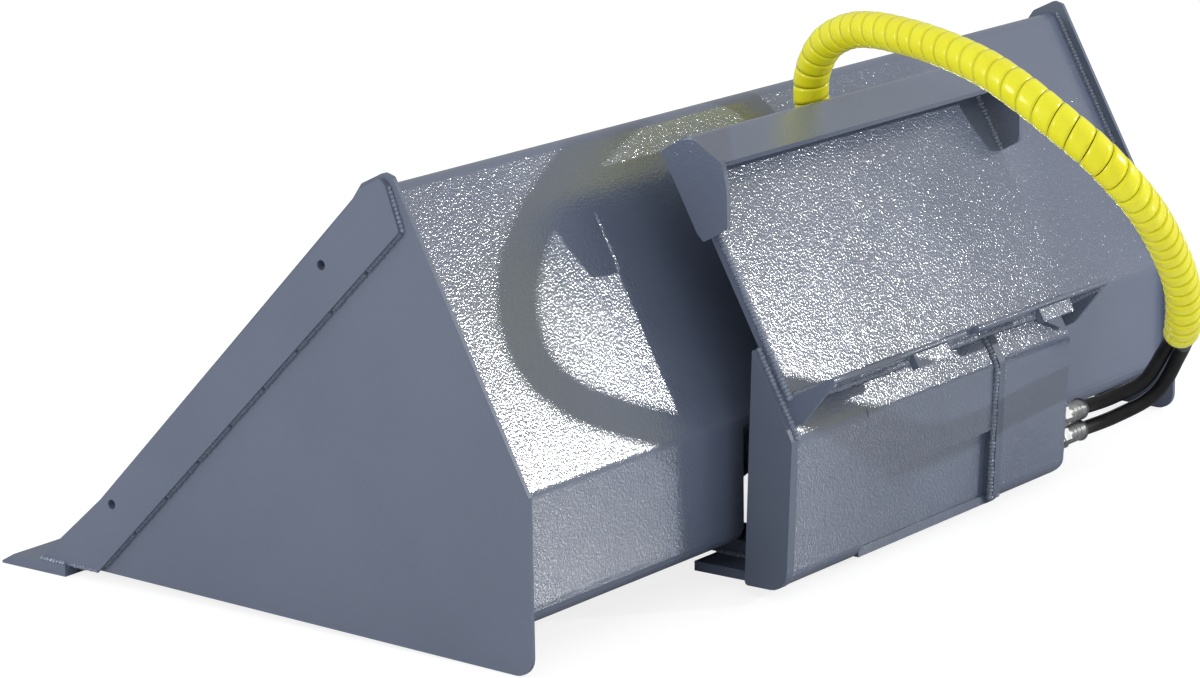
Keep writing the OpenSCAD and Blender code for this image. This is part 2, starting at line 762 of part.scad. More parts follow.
// Plate at the open end of the housing that carries the bulkhead fittings
bracket_edge = 16;
bracket_r = 8;
bracket_toe_r = 4;
module fitting_bracket() {
    color(paint) place() difference() {
        across(bracket_x, bracket_x + bracket_t) polygon(closed_path([[bottom_rear_y, arm_bottom_z],
            [front_y, arm_bottom_z], [fit_y + bracket_edge, fit_high_z + bracket_edge],
            [fit_y - bracket_edge, fit_high_z + bracket_edge], [fit_y - bracket_edge, arm_bottom_z + nut_h]],
            [0, 0, bracket_r, bracket_r, bracket_toe_r]));
        for (z = [fit_low_z, fit_high_z])
            bar_x(bracket_x - cut, bracket_x + 2 * bracket_t, fit_y, z, thread_r);
    }
}

// A hexagon on a line along X
module hex_x(x, y, z, r, h) {
    translate([x, y, z]) rotate([0, 90, 0]) rotate(90) cylinder(r = r, h = h, $fn = 6);
}

// Bulkhead fittings: a lock nut inside the bracket, and a hexagon and a swivel nut outside
module bulkhead_fittings() {
    x = bracket_x + bracket_t;
    color(zinc) place() for (z = [fit_low_z, fit_high_z]) {
        bar_x(bracket_x - nut_h - swivel_h, x, fit_y, z, thread_r);
        hex_x(bracket_x - nut_h, fit_y, z, nut_r, nut_h);
        hex_x(x, fit_y, z, nut_r, nut_h - neck_h);
        bar_x(x + nut_h - neck_h, x + nut_h, fit_y, z, thread_r);
        hex_x(x + nut_h, fit_y, z, nut_r, swivel_h);
    }
}

// Places the cylinder's drawing on the line between its pins
module on_cylinder() {
    place() translate([0, base_y, base_z]) rotate([cyl_angle, 0, 0]) rotate([-90, 0, 0]) children();
}

barrel_r = bore_r + barrel_wall;
barrel_start = 10;
barrel_stop = 24;
barrel_floor = 8;
barrel_s0 = eye_r + barrel_start;
barrel_s1 = cyl_len - eye_r - barrel_stop;
eye_neck = 2;
eye_neck_lap = 4;
gland_in = 36;
gland_cap = 10;
module cylinder_barrel() {
    color(paint) difference() {
        union() {
            on_cylinder() translate([0, 0, barrel_s0]) cylinder(r = barrel_r, h = barrel_s1 - barrel_s0);
            on_cylinder() cylinder(r = eye_r - eye_neck, h = barrel_s0 + eye_neck_lap);
            place() bar_x(-eye_w / 2, eye_w / 2, base_y, base_z, eye_r);
        }
        on_cylinder() translate([0, 0, barrel_s0 + barrel_floor]) cylinder(r = bore_r, h = barrel_s1);
        place() bar_x(-eye_w, eye_w, base_y, base_z, eye_pin_r + bush_wall);
    }
}

module base_bush() {
    color(bronze) place() difference() {
        bar_x(-eye_w / 2, eye_w / 2, base_y, base_z, eye_pin_r + bush_wall);
        bar_x(-eye_w, eye_w, base_y, base_z, eye_pin_r + fit);
    }
}

// Gland nut that guides the rod and closes the barrel
module cylinder_gland() {
    color(zinc) on_cylinder() difference() {
        union() {
            translate([0, 0, barrel_s1 - gland_in]) cylinder(r = bore_r, h = gland_in);
            translate([0, 0, barrel_s1]) cylinder(r = barrel_r, h = gland_cap);
        }
        translate([0, 0, barrel_s1 - 2 * gland_in]) cylinder(r = rod_r + fit, h = 4 * gland_in);
    }
}

// Threaded ports on the barrel's right side
port_in = 3;
module barrel_ports() {
    color(zinc) on_cylinder() for (s = [port_low_s, port_high_s]) difference() {
        translate([barrel_r - port_in, 0, s]) rotate([0, 90, 0])
            cylinder(r = link_r, h = port_x - barrel_r + port_in);
        cylinder(r = barrel_r, h = 2 * cyl_len, center = true);
    }
}

// Steel pipe that feeds the rod end along the barrel
pipe_back = 10;
pipe_off = 1;
pipe_end_s = barrel_s1 - gland_in - pipe_back;
module rod_side_pipe() {
    x = barrel_r + pipe_r + pipe_off;
    color(zinc) on_cylinder() difference() {
        union() {
            translate([x, 0, port_high_s + link_r])
                cylinder(r = pipe_r, h = pipe_end_s - port_high_s - link_r);
            translate([x, 0, pipe_end_s]) sphere(r = pipe_r + pipe_off);
            translate([barrel_r - pipe_off, 0, pipe_end_s]) rotate([0, 90, 0])
                cylinder(r = pipe_r + pipe_off, h = pipe_r + 2 * pipe_off);
        }
        cylinder(r = barrel_r, h = 2 * cyl_len, center = true);
    }
}

piston_home = 4;
piston_s = barrel_s0 + barrel_floor + piston_home;
piston_h = 26;
seal_w = 2;
seal_d = 1.5;
rod_end_s = cyl_len - eye_r + eye_neck_lap;
module piston_rod() {
    color(chrome) difference() {
        union() {
            on_cylinder() translate([0, 0, piston_s + piston_h])
                cylinder(r = rod_r, h = rod_end_s - piston_s - piston_h);
            place() bar_x(-eye_w / 2, eye_w / 2, rod_pin_y, rod_pin_z, eye_r);
        }
        place() bar_x(-eye_w, eye_w, rod_pin_y, rod_pin_z, eye_pin_r + fit);
    }
}

module piston() {
    color(steel) on_cylinder() translate([0, 0, piston_s]) difference() {
        cylinder(r = bore_r - fit, h = piston_h);
        for (z = [piston_h / 4, piston_h * 3 / 4]) translate([0, 0, z - seal_w / 2]) difference() {
            cylinder(r = bore_r, h = seal_w);
            cylinder(r = bore_r - seal_d, h = seal_w);
        }
    }
}

module rod_eye_pin() {
    color(zinc) place() bar_x(-eye_w / 2, eye_w / 2, rod_pin_y, rod_pin_z, eye_pin_r);
}

// Sweeps a round tube along points in space: u is the direction in which a ring starts
guide = [0, 1, 0];
function tangent(p, i) = unit(p[min(i + 1, len(p) - 1)] - p[max(i - 1, 0)]);
function side_dir(p, i, g) = unit(cross(tangent(p, i), g));
function ring(p, i, r, off, u, sides) = let (w = cross(tangent(p, i), u))
    [for (k = [0:sides - 1]) p[i] + u * off + r * (cos(360 * k / sides) * u + sin(360 * k / sides) * w)];
function skin(rings, sides, flip) = [for (i = [0:rings - 2], k = [0:sides - 1])
    let (a = i * sides + k, b = i * sides + (k + 1) % sides, c = b + sides, d = a + sides)
    each flip ? [[a, b, c], [a, c, d]] : [[a, c, b], [a, d, c]]];

// Centre line of the two hoses, from the fittings up over the frame and down behind the lip
route = [[crimp_x, fit_y, fit_mid_z], [crimp_x + ferrule_len, fit_y, fit_mid_z], [367, -54, 61],
    [390, -87, 84], [393, -111, 124], [369, -136, 154], [331, -159, 168], [290, -180, 177],
    [248, -201, 184], [208, -223, 194], [172, -246, 210], [138, -268, 235], [108, -284, 266],
    [75, -296, 298], [40, -305, 328], [4, -313, 357], [-32, -317, 386], [-68, -314, 417],
    [-94, -296, 449], [-106, -261, 478], [-105, -221, 501], [-95, -178, 517], [-81, -133, 526],
    [-66, -90, 531], [-50, -46, 533], [-33, -2, 532], [-15, 40, 524], [2, 79, 504], [16, 105, 469],
    [23, 109, 430], [26, 98, 400], [26, 84, 372], [24, 66, 340], [22, 60, 328]];
hose_sides = 8;
flare = (fit_high_z - fit_low_z) / 2;
fan_end = 4;
guard_first = 10;
guard_last = 31;
clamp_at = guard_last + 1;
fork = 12;
fork_shares = [0, 0.82, 1];
function spread_at(i) = i < 1 ? flare : i < fan_end ? flare + (hose_off - flare) * (i - 1) / (fan_end - 1)
    : i > guard_last ? hose_off + fork * fork_shares[i - guard_last] : hose_off;

// The spiral guard: each turn is a band that tapers a little towards the next
guard_sides = 12;
guard_step = 0.8;
guard_lean = [-1, 1, 0];
function between(p, t) = let (i = min(floor(t), len(p) - 2), f = t - i,
        a = p[max(i - 1, 0)], b = p[i], c = p[i + 1], d = p[min(i + 2, len(p) - 1)])
    (2 * b + (c - a) * f + (2 * a - 5 * b + 4 * c - d) * f * f + (3 * b - a - 3 * c + d) * f * f * f) / 2;
function along(p, i) = i <= 0 ? 0 : along(p, i - 1) + norm(p[i] - p[i - 1]);
fine = 8;
fine_line = [for (i = [0:fine * (guard_last - guard_first)]) between(route, guard_first + i / fine)];
fine_run = [for (i = [0:len(fine_line) - 1]) along(fine_line, i)];
guard_len = fine_run[len(fine_line) - 1];
guard_turns = round(guard_len / guard_pitch);
function find_run(s, i = 0) = i >= len(fine_run) - 2 || fine_run[i + 1] >= s ? i : find_run(s, i + 1);
function at_run(s) = let (i = find_run(s), f = (s - fine_run[i]) / (fine_run[i + 1] - fine_run[i]))
    fine_line[i] + f * (fine_line[i + 1] - fine_line[i]);
guard_line = [for (i = [0:guard_turns]) at_run(guard_len * i / guard_turns)];

// The hoses run through the middles of the guard's rings, so the three bend alike
bare = 2 * guard_first;
wrapped = bare + guard_turns;
straight_end = 2;
hose_line = concat([for (i = [0:straight_end - 1]) route[0] + (route[1] - route[0]) * i / straight_end],
    [for (i = [straight_end:bare - 1]) between(route, i / 2)], guard_line,
    [for (i = [guard_last + 1:len(route) - 1]) route[i]]);
function route_at(i) = i < bare ? i / 2 : i > wrapped ? guard_last + i - wrapped
    : guard_first + (i - bare) * (guard_last - guard_first) / guard_turns;

// The pair starts one above the other, is carried along without twist, and turns to lie flat at the clamp
function level(v, i) = let (t = tangent(hose_line, i)) unit(v - (v * t) * t);
carried = [for (i = 0, v = level([0, 0, 1], 0); i < len(hose_line); i = i + 1, v = level(v, i)) v];
flat_side = side_dir(hose_line, wrapped, guide);
pair_turn = atan2(cross(carried[wrapped], flat_side) * tangent(hose_line, wrapped),
    carried[wrapped] * flat_side);
function pair_side(i) = i > wrapped ? side_dir(hose_line, i, guide)
    : let (v = carried[i], a = pair_turn * route_at(i) / guard_last)
        v * cos(a) + cross(tangent(hose_line, i), v) * sin(a);
module hose_tube(side) {
    n = len(hose_line);
    rings = [for (i = [0:n - 1])
        each ring(hose_line, i, hose_d / 2, side * spread_at(route_at(i)), pair_side(i), hose_sides)];
    color(rubber) place() polyhedron(rings, concat(skin(n, hose_sides, false),
        [[for (k = [0:hose_sides - 1]) k]], [[for (k = [hose_sides - 1:-1:0]) (n - 1) * hose_sides + k]]));
}
module hose_low() { hose_tube(-1); }
module hose_high() { hose_tube(1); }

function guard_side(i) = side_dir(guard_line, i, guard_lean);
module hose_guard() {
    n = 2 * guard_turns;
    r = guard_d / 2;
    outer = [for (i = [0:n - 1]) let (j = ceil(i / 2))
        each ring(guard_line, j, r - (i % 2) * guard_step, 0, guard_side(j), guard_sides)];
    inner = [for (i = [0:guard_turns])
        each ring(guard_line, i, r - guard_wall, 0, guard_side(i), guard_sides)];
    shift = n * guard_sides;
    far = (n - 1) * guard_sides;
    far_in = shift + guard_turns * guard_sides;
    ends = [for (k = [0:guard_sides - 1]) let (m = (k + 1) % guard_sides)
        each [[k, m, shift + m], [k, shift + m, shift + k],
            [far + m, far + k, far_in + k], [far + m, far_in + k, far_in + m]]];
    color(yellow) place() polyhedron(concat(outer, inner), concat(skin(n, guard_sides, false),
        [for (f = skin(guard_turns + 1, guard_sides, true)) [f[0] + shift, f[1] + shift, f[2] + shift]],
        ends));
}

// Crimped ferrules at both ends of the hoses
hose_end = route[len(route) - 1];
end_dir = unit(hose_end - route[len(route) - 2]);
module along_hose(side) {
    u = unit(cross(end_dir, guide));
    spot = hose_end + side * (hose_off + fork) * u;
    place() translate(spot) rotate([0, acos(end_dir.z), atan2(end_dir.y, end_dir.x)]) children();
}
module hose_ferrules() {
    color(zinc) place() for (z = [fit_low_z, fit_high_z]) difference() {
        bar_x(crimp_x, crimp_x + ferrule_len, fit_y, z, ferrule_r);
        bar_x(crimp_x - cut, crimp_x + ferrule_len + cut, fit_y, z, hose_d / 2);
    }
}

// Flat-faced couplers that plug into the loader's lines: ferrule, hexagon, body and sliding sleeve
coupler_r = 16;
coupler_len = 64;
coupler_step = 2;
coupler_hex = 16;
sleeve_at = 24;
sleeve_len = 26;
socket_len = 12;
module hose_couplers() {
    color(zinc) for (s = [-1, 1]) along_hose(s) difference() {
        union() {
            cylinder(r = ferrule_r, h = ferrule_len);
            translate([0, 0, ferrule_len]) cylinder(r = nut_r, h = coupler_hex, $fn = 6);
            translate([0, 0, ferrule_len + coupler_hex])
                cylinder(r = coupler_r - coupler_step, h = coupler_len - coupler_hex);
            translate([0, 0, ferrule_len + sleeve_at]) cylinder(r = coupler_r, h = sleeve_len);
        }
        translate([0, 0, ferrule_len + coupler_len - socket_len])
            cylinder(r = ferrule_r, h = socket_len + cut);
    }
}

// Double clamp that holds the hoses off the attach plate's front face, with its bolt
clamp_t = 12;
clamp_wall = 6;
clamp_fit = 0.8;
clamp_off = spread_at(clamp_at);
clamp_run = hose_end - route[guard_last];
clamp_side = unit(cross(clamp_run, guide));
function cross_plate(p) = let (d = [p.y - plate_y, p.z - plate_z])
    [d.x * cos(slope) + d.y * sin(slope), d.y * cos(slope) - d.x * sin(slope)];
module hose_clamp() {
    spot = route[clamp_at];
    depth = cross_plate(spot);
    reach = hose_d / 2 + clamp_wall;
    color(steel) place() difference() {
        across(spot.x - clamp_off - reach, spot.x + clamp_off + reach) plate_draw()
            translate([depth.x - clamp_t / 2, depth.y - reach]) square([clamp_t, -plate_t - depth.y + reach]);
        for (s = [-1, 1]) {
            d = unit(clamp_run + s * fork * clamp_side);
            translate(spot + s * clamp_off * clamp_side) rotate([0, acos(d.z), atan2(d.y, d.x)])
                cylinder(r = hose_d / 2 + clamp_fit, h = 3 * clamp_t, center = true);
        }
    }
}

// Hoses from the barrel's ports to the bulkhead fittings
inner_end_x = bracket_x - nut_h - swivel_h;
inner_end_run = 7;
low_line = [[port_x + gap, 25, 79], [80, 25, 79], [120, 24, 78], [160, 18, 75], [190, 2, 70], [212, -22, 67],
    [inner_end_x - inner_end_run, fit_y, fit_high_z], [inner_end_x, fit_y, fit_high_z]];
high_line = [[port_x + gap, 55, 82], [80, 55, 82], [120, 54, 78], [160, 46, 68], [188, 24, 54], [206, -4, 44],
    [inner_end_x - inner_end_run, fit_y, fit_low_z], [inner_end_x, fit_y, fit_low_z]];
module inner_hose(line) {
    n = len(line);
    rings = [for (i = [0:n - 1])
        each ring(line, i, inner_hose_r, 0, side_dir(line, i, [0, 0, 1]), hose_sides)];
    color(rubber) place() polyhedron(rings, concat(skin(n, hose_sides, false),
        [[for (k = [0:hose_sides - 1]) k]], [[for (k = [hose_sides - 1:-1:0]) (n - 1) * hose_sides + k]]));
}
module cylinder_hose_low() { inner_hose(low_line); }
module cylinder_hose_high() { inner_hose(high_line); }

bucket_shell();
side_plate_left();
side_plate_right();
side_cutter_left();
side_cutter_right();
cutting_edge();
recess_plate();
recess_cheek_left();
recess_cheek_right();
cylinder_tunnel();
rod_lugs();
lug_pin_ends();
pivot_lugs();
pivot_pins();
pivot_pin_bolts();
attach_plate();
top_lip();
lip_gusset_left();
lip_gusset_right();
lower_ledge();
pocket_plates();
ledge_gusset_left();
ledge_gusset_right();
frame_side_plate();
frame_rib_right();
frame_rib_left();
rear_cover_left();
rear_cover_upper();
rear_cover_lower();
rear_cover_right();
bottom_plate();
arm_left();
arm_right();
arm_tie();
pivot_bosses();
pivot_bushes();
base_lugs();
base_pin();
base_pin_keeper();
fitting_bracket();
bulkhead_fittings();
cylinder_barrel();
cylinder_gland();
base_bush();
barrel_ports();
rod_side_pipe();
piston_rod();
piston();
rod_eye_pin();
cylinder_hose_low();
cylinder_hose_high();
hose_clamp();
hose_ferrules();
hose_low();
hose_high();
hose_guard();
hose_couplers();
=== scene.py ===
# %% [markdown]
# This is a self-dumping loader bucket: a wide bucket with a slanted back, a hitch frame behind it,
# and a hydraulic cylinder in a tunnel under its floor. Two hoses in a yellow spiral guard arch over
# the frame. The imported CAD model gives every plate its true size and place, so Blender keeps those
# plates and adds what a CAD model leaves out: paint, weld beads, hoses that bend smoothly, and light.

# %% Load the CAD frame
import json
import math

import bmesh
import bpy
from mathutils import Matrix, Vector


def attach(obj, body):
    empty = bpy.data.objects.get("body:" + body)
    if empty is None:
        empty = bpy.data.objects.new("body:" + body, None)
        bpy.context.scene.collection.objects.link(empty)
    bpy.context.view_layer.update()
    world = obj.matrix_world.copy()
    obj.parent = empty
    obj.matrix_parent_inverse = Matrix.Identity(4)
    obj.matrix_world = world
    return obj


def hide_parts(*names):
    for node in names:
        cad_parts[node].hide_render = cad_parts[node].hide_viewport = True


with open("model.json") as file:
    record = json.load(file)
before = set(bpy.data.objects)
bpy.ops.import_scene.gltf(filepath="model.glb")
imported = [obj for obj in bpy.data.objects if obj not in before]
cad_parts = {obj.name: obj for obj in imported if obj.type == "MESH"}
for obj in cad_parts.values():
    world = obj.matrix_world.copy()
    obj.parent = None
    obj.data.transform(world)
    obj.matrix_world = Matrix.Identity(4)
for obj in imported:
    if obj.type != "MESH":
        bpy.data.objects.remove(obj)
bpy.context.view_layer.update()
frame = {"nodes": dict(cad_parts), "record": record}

cad = frame["nodes"]
print("CAD pieces:", len(cad))

# %% [markdown]
# All sizes below are written as on a workshop drawing, in millimetres. Its Y axis starts at the rear edge of
# the bucket's side plates. The CAD model is centred on its own box instead, so one function moves a
# drawing point into the scene, in metres.

# %% Drawing sizes
MM = 0.001
DATUM_Y = 284.7516


def at(x, y, z):
    return Vector((x, y - DATUM_Y, z)) * MM


# %% [markdown]
# A long lens keeps the near side plate from growing too large. The place and the three directions of this
# camera were fitted to corners of the bucket whose sizes are known. That is more exact than turning it
# by eye.

# %% Camera
camera = bpy.data.objects.new("camera", bpy.data.cameras.new("camera"))
bpy.context.scene.collection.objects.link(camera)
bpy.context.scene.camera = camera
camera.data.sensor_width = 36
camera.data.lens = 123.5
camera.data.clip_end = 60
camera_right = Vector((0.6057, -0.79554, -0.01555))
camera_up = Vector((0.19681, 0.13086, 0.97167))
camera_back = Vector((-0.77097, -0.5916, 0.23583))
camera.rotation_mode = "QUATERNION"
camera.rotation_quaternion = Matrix((camera_right, camera_up, camera_back)).transposed().to_quaternion()
camera.location = at(-3453.4, -2275.2, 1210.8)

# %% [markdown]
# The two hoses leave the fittings at the open end of the housing, rise in an arch over the frame and dive
# behind the lip. The route is a list of points along the middle between them, the same as in the part's
# source. The hoses and the guard both follow one smooth curve through those points. The two hoses fan out
# at both ends, where they have to reach their own fittings.

# %% Hose route
ROUTE = [(292, -35, 53), (326, -35, 53), (367, -54, 61), (390, -87, 84), (393, -111, 124),
         (369, -136, 154), (331, -159, 168), (290, -180, 177), (248, -201, 184), (208, -223, 194),
         (172, -246, 210), (138, -268, 235), (108, -284, 266), (75, -296, 298), (40, -305, 328),
         (4, -313, 357), (-32, -317, 386), (-68, -314, 417), (-94, -296, 449), (-106, -261, 478),
         (-105, -221, 501), (-95, -178, 517), (-81, -133, 526), (-66, -90, 531), (-50, -46, 533),
         (-33, -2, 532), (-15, 40, 524), (2, 79, 504), (16, 105, 469), (23, 109, 430), (26, 98, 400),
         (26, 84, 372), (24, 66, 340), (22, 60, 328)]
ROUTE = [at(*p) for p in ROUTE]
FAN_END, FIRST_TURN, LAST_TURN = 4, 10, 31  # numbers of route points: fan, first and last turn of the guard
HOSE_R = 8 * MM
HOSE_OFF = 8.2 * MM  # from the middle to each hose, inside the guard
FLARE = 12 * MM  # the same at the fittings
FORK = 12 * MM  # how much wider it gets at the couplers
FORK_FIRST, FORK_REST = 0.82, 0.18  # shares of the fork in the two stretches after the guard
NEARBY = 0.05  # step to either side for the direction of the curve


def on_curve(line, t):
    """A point of the smooth curve through a line's points; t counts the points."""
    i = min(int(t), len(line) - 2)
    f = t - i
    a, b, c, d = (line[max(i - 1, 0)], line[i], line[i + 1], line[min(i + 2, len(line) - 1)])
    return (2 * b + (c - a) * f + (2 * a - 5 * b + 4 * c - d) * f ** 2 + (3 * b - a - 3 * c + d) * f ** 3) / 2


def on_route(t):
    return on_curve(ROUTE, t)


def spread(t):
    """How far each hose lies from the middle: wide at the fittings and at the couplers."""
    if t < FAN_END:
        k = max(0, (t - 1) / (FAN_END - 1))
        return FLARE + (HOSE_OFF - FLARE) * k
    k = t - LAST_TURN
    if k <= 0:
        return HOSE_OFF
    return HOSE_OFF + FORK * (FORK_FIRST * k * k * (3 - 2 * k) if k < 1 else FORK_FIRST + FORK_REST * (k - 1))


def ahead_at(t):
    """The direction of the route at t."""
    last = len(ROUTE) - 1
    return (on_route(min(t + NEARBY, last)) - on_route(max(t - NEARBY, 0))).normalized()


def level(v, ahead):
    """The part of v that stands square on the curve."""
    return (v - ahead * v.dot(ahead)).normalized()


ACROSS = Vector((0, 1, 0))
carried = [level(Vector((0, 0, 1)), ahead_at(0))]
for i in range(1, len(ROUTE)):
    carried.append(level(carried[-1], ahead_at(i)))
flat_side = ahead_at(LAST_TURN).cross(ACROSS).normalized()
pair_turn = math.atan2(carried[LAST_TURN].cross(flat_side).dot(ahead_at(LAST_TURN)),
                       carried[LAST_TURN].dot(flat_side))
print("the pair turns by", round(math.degrees(pair_turn)), "degrees")


def pair_side(t):
    """From the middle towards the upper hose: straight up at the fittings, level at the clamp."""
    ahead = ahead_at(t)
    if t >= LAST_TURN:
        return ahead.cross(ACROSS).normalized()
    i = int(t)
    v = level(carried[i].lerp(carried[i + 1], t - i), ahead)
    a = pair_turn * t / LAST_TURN
    return v * math.cos(a) + ahead.cross(v) * math.sin(a)


def hose_points(side, steps=7):
    """The middle line of one hose: side is -1 for the lower one and 1 for the upper one."""
    count = (len(ROUTE) - 1) * steps
    return [on_route(i / steps) + pair_side(i / steps) * side * spread(i / steps) for i in range(count + 1)]


def length_of(points):
    return sum((b - a).length for a, b in zip(points, points[1:]))


# %% [markdown]
# Each hose is swept as a round tube: a ring of points stands square on the curve at every step, and faces
# join one ring to the next. Each ring is turned as little as possible from the last one, so the tube
# doesn't twist. Two thinner hoses inside the frame lead on to the cylinder, made by the same function.

# %% Hoses
def new_object(name, mesh):
    piece = bpy.data.objects.new(name, mesh)
    bpy.context.scene.collection.objects.link(piece)
    return piece


def smooth(mesh):
    mesh.polygons.foreach_set("use_smooth", [True] * len(mesh.polygons))


def tube(name, points, radius, sides=20):
    verts, faces = [], []
    u = Vector((0.1, 0.3, 1))  # any start that is not along the tube
    for i, p in enumerate(points):
        ahead = (points[min(i + 1, len(points) - 1)] - points[max(i - 1, 0)]).normalized()
        u = level(u, ahead)
        w = ahead.cross(u)
        for k in range(sides):
            a = 2 * math.pi * k / sides
            verts.append(p + radius * (math.cos(a) * u + math.sin(a) * w))
    for i in range(len(points) - 1):
        for k in range(sides):
            a, b = i * sides + k, i * sides + (k + 1) % sides
            faces.append((a, b, b + sides, a + sides))
    faces.append(tuple(range(sides))[::-1])
    faces.append(tuple((len(points) - 1) * sides + k for k in range(sides)))
    mesh = bpy.data.meshes.new(name)
    mesh.from_pydata(verts, [], faces)
    smooth(mesh)
    piece = new_object(name, mesh)
    tidy_normals(piece)
    return piece


def tidy_normals(piece):
    work = bmesh.new()
    work.from_mesh(piece.data)
    bmesh.ops.remove_doubles(work, verts=work.verts, dist=1e-6)
    bmesh.ops.recalc_face_normals(work, faces=work.faces)
    work.to_mesh(piece.data)
    work.free()


hoses = {}
for name, side in (("hose_low", -1), ("hose_high", 1)):
    path = hose_points(side)
    hoses[name] = (tube("smooth_" + name, path, HOSE_R), path)
    print(name, "length", round(length_of(path), 3))

INNER_R = 6 * MM
INNER_STEPS = 6
INNER_LINES = {
    "cylinder_hose_low": [(45.4, 25, 79), (80, 25, 79), (120, 24, 78), (160, 18, 75), (190, 2, 70),
                          (212, -22, 67), (231, -35, 65), (238, -35, 65)],
    "cylinder_hose_high": [(45.4, 55, 82), (80, 55, 82), (120, 54, 78), (160, 46, 68), (188, 24, 54),
                           (206, -4, 44), (231, -35, 41), (238, -35, 41)]}
inner_hoses = {}
for name, line in INNER_LINES.items():
    line = [at(*p) for p in line]
    path = [on_curve(line, i / INNER_STEPS) for i in range((len(line) - 1) * INNER_STEPS + 1)]
    inner_hoses[name] = tube("smooth_" + name, path, INNER_R)

# %% [markdown]
# Every finish is built from nodes. A small wrapper lets node maths be written as ordinary sums: `1 - mask`
# adds a Math node and links it. One method adds any other node, so a finish reads like a recipe.

# %% Node recipes
class Wire:
    """An output socket. Sums, products and powers of wires add Math nodes."""

    def __init__(self, graph, socket):
        self.graph, self.socket = graph, socket

    def math(self, operation, *values):
        return self.graph.add("ShaderNodeMath", {"operation": operation}, dict(enumerate(values)))["Value"]

    def __add__(self, other): return self.math("ADD", self, other)
    def __radd__(self, other): return self.math("ADD", other, self)
    def __sub__(self, other): return self.math("SUBTRACT", self, other)
    def __rsub__(self, other): return self.math("SUBTRACT", other, self)
    def __mul__(self, other): return self.math("MULTIPLY", self, other)
    def __rmul__(self, other): return self.math("MULTIPLY", other, self)
    def __truediv__(self, other): return self.math("DIVIDE", self, other)
    def __pow__(self, other): return self.math("POWER", self, other)
    def floor(self): return self.math("FLOOR", self)
    def between(self, low, high):
        """0 below low, 1 above high, and a smooth step between."""
        return self.graph.add("ShaderNodeMapRange", {"interpolation_type": "SMOOTHSTEP"},
                              {"Value": self, "From Min": low, "From Max": high})["Result"]


class Step:
    """A node that was added; its outputs are read by name or number."""

    def __init__(self, graph, node):
        self.graph, self.node = graph, node

    def __getitem__(self, name):
        return Wire(self.graph, self.node.outputs[name])


class Graph:
    def __init__(self, tree):
        self.tree = tree

    def add(self, kind, settings=None, sockets=None):
        node = self.tree.nodes.new(kind)
        for key, value in (settings or {}).items():
            setattr(node, key, value)
        for key, value in (sockets or {}).items():
            socket = node.inputs[key]
            if isinstance(value, Wire):
                self.tree.links.new(value.socket, socket)
            else:
                socket.default_value = value
        return Step(self, node)

    def mix(self, mask, tone_a, tone_b):
        """Colour a where the mask is 0, colour b where it is 1."""
        rgba = [t if isinstance(t, Wire) else (*t, 1) for t in (tone_a, tone_b)]
        return self.add("ShaderNodeMix", {"data_type": "RGBA"}, {0: mask, 6: rgba[0], 7: rgba[1]})[2]


def finish_graph(name):
    material = bpy.data.materials.new(name)
    material.use_nodes = True
    material.node_tree.nodes.clear()
    graph = Graph(material.node_tree)
    graph.place = graph.add("ShaderNodeTexCoord")["Object"]
    return material, graph


def surface(graph, sockets):
    shader = graph.add("ShaderNodeBsdfPrincipled", None, sockets)["BSDF"]
    graph.add("ShaderNodeOutputMaterial", None, {"Surface": shader})


# %% [markdown]
# The bucket wears a hammered powder coat: a dark blue-grey paint that dries in small soft dimples, which
# catch the lamp as a dense glitter. Two noises make the dimples, one for their size and one to break up the
# pattern. The colour hardly changes, so the character comes from the bump and from patches of duller gloss.
# The depth of the bump sets how far the glitter spreads round the mirror image of the lamp. Weld beads are
# rougher, and their colour holds painted highlights: a lighter tone and bright specks that stand in for
# sparkle.

# %% Hammered paint
COAT = (0.132, 0.162, 0.240)
COAT_DARK = (0.116, 0.143, 0.213)
# colour of the painted glints on the weld beads: bright specks that stand in for the lamp's sparkle
GLINT_TONE = (0.55, 0.58, 0.62)
GLINTS_PER_METRE = 420
PATCHES_PER_METRE = 5


def hammered(name, grain=430, depth=0.00014, rough=0.12, light=COAT, dark=COAT_DARK, painted_glint=0.0, gloss=2.4):
    """grain is in dimples per metre, depth in metres, and gloss is the index of refraction."""
    material, g = finish_graph(name)
    dimples = g.add("ShaderNodeTexNoise", None,
                    {"Vector": g.place, "Scale": grain, "Detail": 1.5, "Roughness": 0.55})["Fac"]
    broad = g.add("ShaderNodeTexNoise", None, {"Vector": g.place, "Scale": grain / 3.1, "Detail": 1.0})["Fac"]
    patches = g.add("ShaderNodeTexNoise", None,
                    {"Vector": g.place, "Scale": PATCHES_PER_METRE, "Detail": 2})["Fac"]
    height = dimples.between(0.30, 0.72) * 0.9 + broad * 0.12
    normal = g.add("ShaderNodeBump", None, {"Strength": 1.0, "Distance": depth, "Height": height})["Normal"]
    tone = g.mix(patches.between(0.35, 0.68), dark, light)
    # Painted highlight: bright specks mixed into the base colour stand in for glints of the lamp.
    if painted_glint:
        glint_cells = g.add("ShaderNodeTexVoronoi", None,
                        {"Vector": g.place, "Scale": GLINTS_PER_METRE})["Distance"]
        tone = g.mix((1 - glint_cells.between(0.05, 0.32)) * painted_glint, tone, GLINT_TONE)
    surface(g, {"Base Color": tone, "Roughness": rough + patches * 0.08, "IOR": gloss, "Normal": normal})
    return material


coat = hammered("hammered_coat")
side_coat = hammered("side_plate_coat", grain=300, depth=0.00008, rough=0.38, gloss=1.45,
                     light=(0.140, 0.168, 0.232), dark=(0.130, 0.157, 0.218))
# The weld beads get a lighter tone and bright specks. Both are painted highlight that stands in for their
# sparkle.
bead_coat = hammered("weld_bead_coat", grain=620, depth=0.0005, rough=0.26,
                     light=(0.20, 0.25, 0.36), dark=(0.17, 0.21, 0.31), painted_glint=0.85, gloss=2.6)

# %% [markdown]
# The fittings are zinc plated: a grey metal with soft stains. The rod is hard chrome, smooth and bright.
# The bushes are bronze. Metal shows its surroundings, so its look comes from roughness more than from colour.

